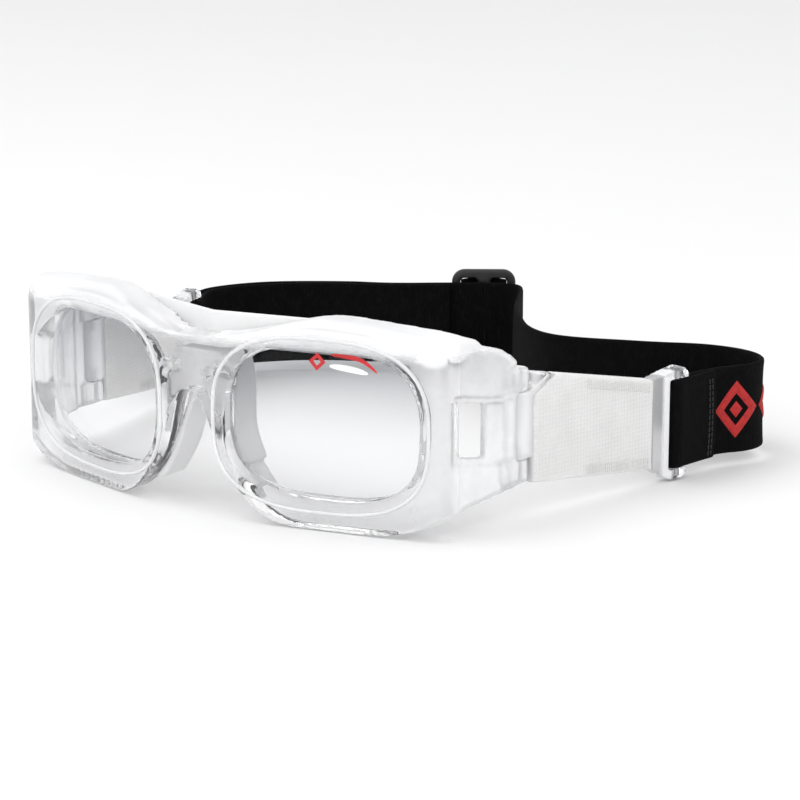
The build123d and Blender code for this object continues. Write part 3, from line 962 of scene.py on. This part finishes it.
@dataclass
class Ribbon:
    """A flat strap standing on edge along a plan path, with slightly curled rounded edges.

    Sizes are in millimetres. It lies flat, with no wave or curl, near the points of flat_at.
    """

    path: list[Point]
    low: float
    width: float
    thickness: float
    seed: float
    flat_at: tuple[Point, ...] = ()
    flat_reach: float = 11.0
    flat_fade: float = 14.0
    wave: float = 0.35
    curl: float = 0.35
    ripple: float = 0.25

    def __post_init__(self) -> None:
        """Measure the path."""
        self.spots = [Vector(p) for p in self.path]
        self.held = [Vector(p) for p in self.flat_at]
        self.lengths = [0.0]
        for first, second in zip(self.spots, self.spots[1:]):
            self.lengths.append(self.lengths[-1] + (second - first).length)

    @property
    def total(self) -> float:
        """Length of the path in millimetres."""
        return self.lengths[-1]

    def heading(self, index: int) -> Vector:
        """Unit direction of the path at a point.

        Args:
            index: Place of the point in the path.

        Returns:
            The direction in plan.
        """
        before = self.spots[max(index - 1, 0)]
        after = self.spots[min(index + 1, len(self.spots) - 1)]
        return (after - before).normalized()

    def at(self, distance: float, up: float, out: float) -> Vector:
        """A point on the strap.

        Args:
            distance: Millimetres along it.
            up: Share of the width above the lower edge, from 0 to 1.
            out: Millimetres to the right of its direction from its middle.

        Returns:
            The point in metres.
        """
        index = 0
        while index < len(self.lengths) - 2 and self.lengths[index + 1] < distance:
            index += 1
        span = max(self.lengths[index + 1] - self.lengths[index], 1e-6)
        share = (distance - self.lengths[index]) / span
        base = self.spots[index].lerp(self.spots[index + 1], share)
        heading = self.heading(index).lerp(self.heading(index + 1), share).normalized()
        away = [max((base - spot).length - self.flat_reach, 0.0) / self.flat_fade for spot in self.held]
        free = min([1.0, *away])
        wave = noise.noise(Vector((distance * 0.06, up * 1.3, self.seed))) * self.wave
        curl = self.curl * abs(2 * up - 1) ** 4
        side = out + free * (wave + curl)
        ripple = self.ripple * free * noise.noise(Vector((distance * 0.05, self.seed, 4.0)))
        x = base.x + heading.y * side
        y = base.y - heading.x * side
        return place(x, y, self.low + up * self.width + ripple)

    def build(self, name: str, step: float = 0.8) -> bpy.types.Object:
        """Make the strap's mesh with a lengthwise map in metres.

        Args:
            name: Name of the piece.
            step: Distance between rings in millimetres.

        Returns:
            The strap.
        """
        mesh = bmesh.new()
        layer = mesh.loops.layers.uv.new("weave")
        profile = self.profile()
        count = max(int(self.total / step), 2)
        rows, marks = [], []
        for index in range(count + 1):
            distance = self.total * index / count
            rows.append([mesh.verts.new(self.at(distance, up, out)) for up, out in profile])
            marks.append(distance * MM)
        size = len(profile)
        for index in range(count):
            for edge in range(size):
                after = (edge + 1) % size
                corners = ((index, edge), (index, after), (index + 1, after), (index + 1, edge))
                face = mesh.faces.new([rows[row][spot] for row, spot in corners])
                for loop, (row, spot) in zip(face.loops, corners):
                    loop[layer].uv = (marks[row], profile[spot][0] * self.width * MM)
        for row, reverse in ((rows[0], True), (rows[-1], False)):
            face = mesh.faces.new(row[::-1] if reverse else row)
            for loop in face.loops:
                loop[layer].uv = (0.0, 0.0)
        return new_piece(name, mesh)

    def profile(self) -> list[Point]:
        """Cross-section points as share of the width and distance from the middle."""
        half = self.thickness / 2
        edge = half / self.width
        points = []
        for step in range(13):
            points.append((edge + (1 - 2 * edge) * step / 12, half))
        for step in range(1, 5):
            angle = math.pi * step / 5
            points.append((1 - edge + edge * math.sin(angle), half * math.cos(angle)))
        for step in range(13):
            points.append((1 - edge - (1 - 2 * edge) * step / 12, -half))
        for step in range(1, 5):
            angle = math.pi * step / 5
            points.append((edge - edge * math.sin(angle), -half * math.cos(angle)))
        return points


@dataclass
class Strap:
    """The elastic strap in two stretches that meet under the adjuster, with its stitching and motif."""

    finishes: Finishes
    arm: Arm
    width: float = 25.0
    thickness: float = 1.5
    low: float = 3.3
    loop_axis: float = 60.0
    fold_radius: float = 2.5
    tab_end: float = 75.0
    left_seed: float = 1.7
    right_seed: float = 5.2
    layer: float = 0.95
    layer_gap: float = 1.9
    outer_join: float = 5.0
    inner_join: float = 4.95
    short_tab: float = 4.0
    steps: int = 12
    held: tuple[Point, ...] = ((-22.0, 173.0), (-30.0, 167.0), (-40.0, 160.0))
    left_route: tuple[Point, ...] = (
        (88.2, 113.6), (94.3, 122.5), (94.1, 131.0), (86.0, 136.5), (73.0, 136.8),
        (57.0, 129.0), (42.0, 122.0), (29.0, 119.5), (17.5, 125.0), (7.0, 136.5),
        (-4.0, 151.5), (-12.0, 167.5), (-18.7, 175.2), (-27.5, 169.15))
    right_route: tuple[Point, ...] = (
        (-27.5, 169.15), (-36.4, 163.0), (-50.0, 152.0), (-66.0, 143.5),
        (-79.5, 134.0), (-89.5, 121.0), (-93.0, 108.0))
    left_bend: tuple[Point, Point] = ((93.0, 112.0), (22.0, 122.0))
    right_bend: tuple[Point, Point] = ((-93.0, 112.0), (-52.0, 150.0))
    bend_height: float = 15.0
    stitch_rows: tuple[float, float] = (1.3, 2.5)
    stitch_pitch: float = 0.068
    stitch_share: float = 0.05
    stitch_wave: float = 0.25
    stitch_radius: float = 0.00019
    motif_spot: Point = (91.9, 119.0)
    motif_relief: float = 0.32
    motif_lozenges: tuple[tuple[float, Point, float], ...] = (
        (0.0, (7.2, 8.2), 0.56), (0.0, (2.0, 2.4), 0.0), (12.4, (4.2, 5.0), 0.45))

    def arm_plan(self, along: float, inward: float) -> Point:
        """Plan point along the left arm, in millimetres.

        Args:
            along: Distance from the hinge axis.
            inward: Distance towards the head from the arm's middle plane.

        Returns:
            The plan point.
        """
        arm = self.arm
        x = arm.hinge[0] + along * math.sin(arm.flare) - inward * math.cos(arm.flare)
        y = arm.hinge[1] + along * math.cos(arm.flare) + inward * math.sin(arm.flare)
        return x, y

    def fold(self, outer_end: float) -> list[Point]:
        """Plan points of the fold round the left bar, from its outer layer to its inner one.

        Args:
            outer_end: Distance along the arm at which the outer layer starts.

        Returns:
            The plan points.
        """
        points = []
        for step in range(7):
            share = step / 6
            along = outer_end + (self.loop_axis - outer_end) * share
            points.append(self.arm_plan(along, -self.layer - (self.fold_radius - self.layer) * share ** 2))
        for step in range(1, 13):
            angle = math.pi * step / 12
            along = self.loop_axis - self.fold_radius * math.sin(angle)
            points.append(self.arm_plan(along, -self.fold_radius * math.cos(angle)))
        points.append(self.arm_plan(self.loop_axis + 2.2, self.fold_radius - 0.7))
        return points

    def build(self) -> None:
        """Make both stretches of the strap and what is sewn on them."""
        join = self.arm_plan(self.loop_axis + self.inner_join, self.layer)
        route = bend_route([join, *self.left_route], self.steps)
        left = self.ribbon([*self.fold(self.tab_end), *route], self.left_seed)
        piece = left.build("strap_left_stretch")
        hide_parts("left_strap_fold", "strap_band")
        self.sew(piece, self.finishes.webbing, Side.LEFT)
        self.sew(self.stitching(left), self.finishes.thread, Side.LEFT)
        self.sew(self.motif(left), self.finishes.embroidery, Side.LEFT)
        self.right_stretch()

    def ribbon(self, path: list[Point], seed: float) -> Ribbon:
        """A stretch of the strap along a path, which waves by its seed."""
        return Ribbon(path, self.low, self.width, self.thickness, seed, self.held)

    def right_stretch(self) -> None:
        """The stretch from the adjuster round the right bar and back inside."""
        def flip(points: list[Point]) -> list[Point]:
            """The points mirrored to the right side."""
            return [(-x, y) for x, y in points]

        arrival, departure = flip([
            self.arm_plan(self.loop_axis + self.outer_join, -self.layer),
            self.arm_plan(self.loop_axis + self.inner_join, self.layer)])
        outer = bend_route([*self.right_route, arrival], self.steps)
        corners = [Vector(corner) for corner in self.right_route]
        inner_route = []
        for index, corner in enumerate(corners):
            heading = (corners[min(index + 1, len(corners) - 1)] - corners[max(index - 1, 0)]).normalized()
            inner_route.append((corner.x - heading.y * self.layer_gap, corner.y + heading.x * self.layer_gap))
        inner = bend_route([departure, *inner_route[:0:-1]], self.steps)
        fold = flip(self.fold(self.loop_axis + self.short_tab))
        right = self.ribbon([*outer, *fold, *inner], self.right_seed)
        piece = right.build("strap_right_stretch")
        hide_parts("right_strap_fold", "strap_return")
        self.sew(piece, self.finishes.webbing, Side.RIGHT)

    def sew(self, piece: bpy.types.Object, finish: bpy.types.Material, side: Side) -> None:
        """Give a piece of the strap its finish and bake its placement into its mesh.

        Args:
            piece: The piece.
            finish: Its material.
            side: Side of the arm whose loop it starts from; not used.
        """
        paint(piece, finish)
        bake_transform(piece)
        LOG.info("%s bends from the %s arm to the frame", piece.name, side.word)

    def stitching(self, ribbon: Ribbon) -> bpy.types.Object:
        """Rows of stitches across the tab's sewn end.

        Args:
            ribbon: The stretch that the tab belongs to.

        Returns:
            The stitches as one piece.
        """
        mesh = bmesh.new()
        face = self.outward(ribbon, 3.0) * (self.thickness / 2 + 0.05)
        for distance in self.stitch_rows:
            up = 0.05
            while up < 0.93:
                path = []
                for step in range(5):
                    along = distance + self.stitch_wave * math.sin(step * math.pi / 4)
                    path.append(ribbon.at(along, up + self.stitch_share * step / 4, face))
                add_tube(mesh, path, self.stitch_radius, 6)
                up += self.stitch_pitch
        return new_piece("strap_tab_stitching", mesh)

    def motif(self, ribbon: Ribbon) -> bpy.types.Object:
        """Embroidered plain lozenges on the outer face of the strap behind the tab.

        Args:
            ribbon: The stretch that they are sewn on.

        Returns:
            The embroidery as one piece.
        """
        mesh = bmesh.new()
        centre = self.motif_start(ribbon)
        for offset, half, hole in self.motif_lozenges:
            self.lozenge(mesh, ribbon, centre + offset, half, hole)
        return new_piece("strap_motif_lozenges", mesh)

    def outward(self, ribbon: Ribbon, distance: float) -> float:
        """Sign of the strap's outer face on the left side, at a distance along it."""
        return 1.0 if ribbon.at(distance, 0.5, 1.0).x > ribbon.at(distance, 0.5, -1.0).x else -1.0

    def motif_start(self, ribbon: Ribbon) -> float:
        """Distance along the strap at which the motif's middle lies.

        Args:
            ribbon: The stretch that the motif is sewn on.

        Returns:
            The distance in millimetres.
        """
        target = Vector(self.motif_spot)
        best = min(range(len(ribbon.spots)), key=lambda i: (ribbon.spots[i] - target).length)
        return ribbon.lengths[best]

    def lozenge(self, mesh: bmesh.types.BMesh, ribbon: Ribbon, centre: float, half: Point,
                hole: float) -> None:
        """Add one raised lozenge to the embroidery.

        Args:
            mesh: The embroidery's bmesh.
            ribbon: The strap.
            centre: Distance along the strap of its middle.
            half: Half its length and half its height in millimetres.
            hole: Share of its size that is open.
        """
        outward = self.outward(ribbon, self.motif_start(ribbon))
        face = self.thickness / 2 + 0.02
        rings, turns = 6, 48
        rows = []
        for ring in range(rings + 1):
            share = hole + (1 - hole) * ring / rings
            lift = self.motif_relief * (math.sin(math.pi * ring / rings) if hole else 1 - share ** 2)
            row = []
            for turn in range(turns):
                angle = 2 * math.pi * turn / turns
                size = abs(math.cos(angle)) + abs(math.sin(angle))
                along = centre + half[0] * share * math.cos(angle) / size
                up = 0.5 + half[1] * share * math.sin(angle) / size / self.width
                row.append(mesh.verts.new(ribbon.at(along, up, outward * (face + lift))))
            rows.append(row)
        skin(mesh, rows)


@dataclass
class Adjuster:
    """The black slider with the strap end sewn round its middle bar."""

    finishes: Finishes
    centre: Point = (-29.0, 171.2)
    angle: float = math.radians(34.6)
    height: float = 32.0
    voxel: float = 0.00035
    passes: int = 4
    wrap_width: float = 26.2
    wrap_thickness: float = 1.1
    wrap_seed: float = 9.4
    wrap_route: tuple[Point, ...] = (
        (-6.9, -1.0), (-5.2, 0.0), (-3.4, 1.8), (-1.2, 2.2), (1.2, 2.2), (3.4, 1.8), (5.2, 0.0), (6.9, -1.0))

    def build(self) -> None:
        """Make the slider and the webbing round its bar."""
        slider = moulded_copy("strap_slider", "adjuster_slider", self.voxel, self.passes)
        dress(slider, self.finishes.buckle, "slider")
        dress(self.wrap(), self.finishes.webbing, "slider")

    def wrap(self) -> bpy.types.Object:
        """Webbing that passes over the middle bar from slot to slot.

        Returns:
            The wrap.
        """
        across = Vector((math.cos(self.angle), math.sin(self.angle)))
        rear = Vector((-math.sin(self.angle), math.cos(self.angle)))
        middle = Vector(self.centre)
        path = []
        for along, lift in bend_route(self.wrap_route, 6):
            spot = middle + across * along + rear * lift
            path.append((spot.x, spot.y))
        low = (self.height - self.wrap_width) / 2
        ribbon = Ribbon(path, low, self.wrap_width, self.wrap_thickness, self.wrap_seed, (self.centre,))
        return ribbon.build("adjuster_wrap", 0.4)


@dataclass
class Studio:
    """Pale table, soft white light and the camera."""

    target: tuple[float, float, float] = (0.0338, -0.0451, 0.0257)
    azimuth: float = math.radians(36.0)
    elevation: float = math.radians(14.14)
    distance: float = 0.8
    focal: float = 134.3
    half_width: float = 6.0
    near: float = -4.0
    far: float = 3.0
    curve: float = 1.5
    wall_top: float = 5.0
    gap: float = 0.0003

    def build(self) -> None:
        """Make the table, the lights and the camera."""
        self.table()
        self.sky()
        self.light("key", (-0.5, -0.5, 1.1), 0.9, 5.0)
        self.light("fill", (0.9, -0.3, 0.8), 0.7, 2.0)
        self.light("front", (0.3, -1.2, 0.45), 1.0, 3.5)
        self.camera()

    def table(self) -> None:
        """A large pale table top that curves up far behind."""
        mesh = bmesh.new()
        rows = []
        line = [(self.near, -self.gap), (self.far, -self.gap)]
        for step in range(1, 13):
            angle = math.pi / 2 * step / 12
            line.append((self.far + self.curve * math.sin(angle), self.curve * (1 - math.cos(angle))))
        line.append((self.far + self.curve, self.wall_top))
        for x in (-self.half_width, self.half_width):
            rows.append([mesh.verts.new((x, y, z)) for y, z in line])
        for index in range(len(rows[0]) - 1):
            mesh.faces.new((rows[0][index], rows[1][index], rows[1][index + 1], rows[0][index + 1]))
        table = new_piece("studio_table", mesh)
        nodes = Nodes("table_pale")
        nodes.set("Base Color", nodes.blend(nodes.noise(3.0), (0.81, 0.81, 0.815), (0.825, 0.825, 0.83)))
        nodes.set("Roughness", 0.75)
        nodes.set("Specular IOR Level", 0.2)
        table.data.materials.append(nodes.material)

    def sky(self) -> None:
        """Even white surroundings."""
        world = bpy.data.worlds.new("studio_world")
        bpy.context.scene.world = world
        world.use_nodes = True
        background = world.node_tree.nodes["Background"]
        background.inputs[0].default_value = (1.0, 1.0, 1.0, 1.0)
        background.inputs[1].default_value = 1.0

    def light(self, name: str, spot: tuple[float, float, float], size: float, power: float) -> None:
        """A square soft light that faces the goggles.

        Args:
            name: Name of the light.
            spot: Its place in metres.
            size: Its side in metres.
            power: Its power in watts.
        """
        data = bpy.data.lights.new(name, "AREA")
        data.size = size
        data.energy = power
        lamp = bpy.data.objects.new(name, data)
        lamp.location = spot
        lamp.rotation_euler = (Vector(self.target) - lamp.location).to_track_quat("-Z", "Y").to_euler()
        bpy.context.scene.collection.objects.link(lamp)

    def camera(self) -> None:
        """The camera, aimed down at the goggles from the front left."""
        data = bpy.data.cameras.new("camera")
        data.lens = self.focal
        data.sensor_width = 36.0
        data.clip_start = 0.01
        camera = bpy.data.objects.new("camera", data)
        back = Vector((
            math.sin(self.azimuth) * math.cos(self.elevation),
            -math.cos(self.azimuth) * math.cos(self.elevation),
            math.sin(self.elevation),
        ))
        camera.location = Vector(self.target) + back * self.distance
        camera.rotation_euler = back.to_track_quat("Z", "Y").to_euler()
        bpy.context.scene.collection.objects.link(camera)
        bpy.context.scene.camera = camera
        bpy.context.scene.view_settings.view_transform = "Standard"


def main() -> None:
    """Build the goggles around the CAD frame."""
    logging.basicConfig(level=logging.INFO, format="%(name)s: %(message)s")
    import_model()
    finishes = Finishes()
    Studio().build()
    Front(finishes).build()
    arms = {side: Arm(side, finishes) for side in Side}
    for arm in arms.values():
        arm.build()
    Strap(finishes, arms[Side.LEFT]).build()
    Adjuster(finishes).build()


if __name__ == "__main__":
    main()
